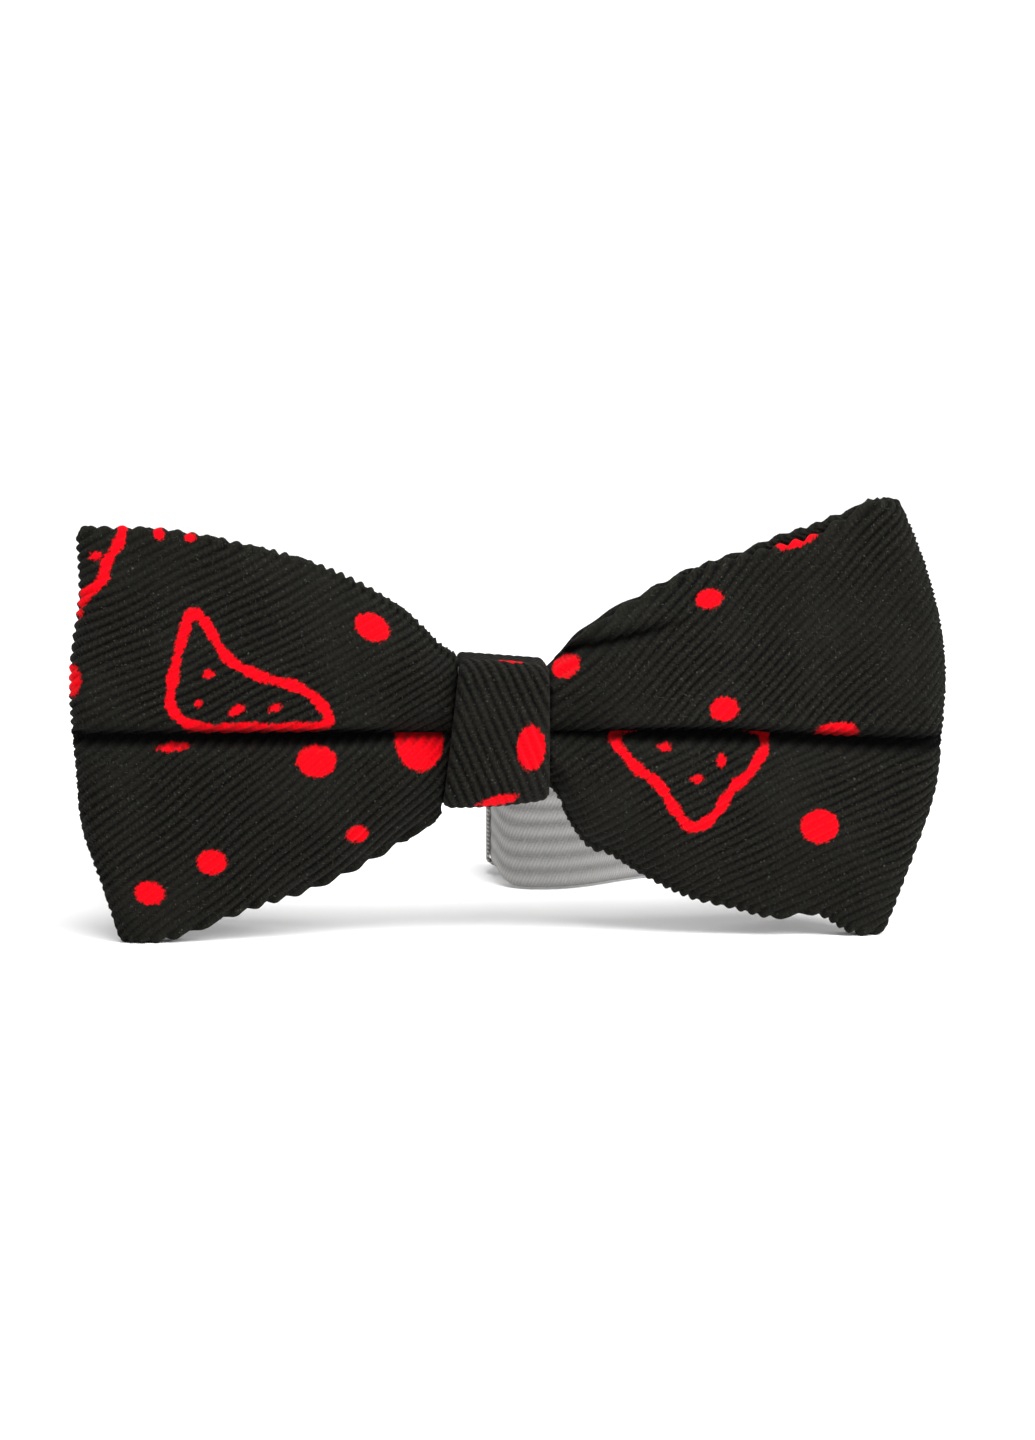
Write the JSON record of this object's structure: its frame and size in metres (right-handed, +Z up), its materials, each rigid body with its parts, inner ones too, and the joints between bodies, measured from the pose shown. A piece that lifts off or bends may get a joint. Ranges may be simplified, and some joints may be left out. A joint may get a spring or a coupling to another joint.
{
  "type": "bow tie",
  "caption": "Pre-tied patterned cloth bow tie with a wrapped knot and a ribbed neckband that closes with a hook and ring and adjusts with a slider.",
  "frame": {"origin": "on the surface that the tie stands on, under the middle of the whole part", "axes": "+X to the wearer's left along the bow, as seen from the front the right-hand wing; +Y from the bow's front to the neckband behind it; +Z up"},
  "size_m": [0.1198, 0.1028, 0.0605],
  "materials": {
    "bow_cloth": "charcoal cotton twill with a raised diagonal rib and a red print",
    "interlining": "undyed woven interlining",
    "neckband_tape": "grey tape with ribs along its length",
    "dark_thread": "black sewing thread",
    "pale_thread": "grey sewing thread",
    "nickel": "nickel-plated wire and plate with light handling marks"
  },
  "bodies": {
    "bow": {"bow_cloth": "bow_cloth", "bow_interlining": "interlining", "waist_binding": "dark_thread", "knot_band": "bow_cloth", "knot_interlining": "interlining", "knot_seam_stitch": "dark_thread", "neckband_long_front": "neckband_tape", "neckband_short_front": "neckband_tape"},
    "long_band": {"neckband_long_back": "neckband_tape", "hook_tack": "pale_thread"},
    "short_band": {"neckband_short_back": "neckband_tape", "ring_tack": "pale_thread"},
    "hook": {"hook": "nickel"},
    "ring": {"ring": "nickel"},
    "slider": {"slider": "nickel"}
  },
  "joints": [
    {"name": "long_band_swing", "type": "hinge", "parent": "bow", "child": "long_band", "pos_m": [-0.0483, -0.0208, 0.0102], "axis": [0, 0, 1], "range_deg": [-10, 75]},
    {"name": "short_band_swing", "type": "hinge", "parent": "bow", "child": "short_band", "pos_m": [0.0487, -0.0208, 0.0102], "axis": [0, 0, -1], "range_deg": [-15, 90]},
    {"name": "hook_tilt", "type": "hinge", "parent": "long_band", "child": "hook", "pos_m": [-0.0353, 0.0477, 0.0102], "axis": [0, 0, 1], "range_deg": [-60, 60]},
    {"name": "ring_tilt", "type": "hinge", "parent": "short_band", "child": "ring", "pos_m": [0.0022, 0.0132, 0.0102], "axis": [0, 0, 1], "range_deg": [-60, 60]},
    {"name": "slider_travel", "type": "slide", "parent": "long_band", "child": "slider", "axis": [0, 1, 0], "range_m": [-0.003, 0.019]}
  ]
}
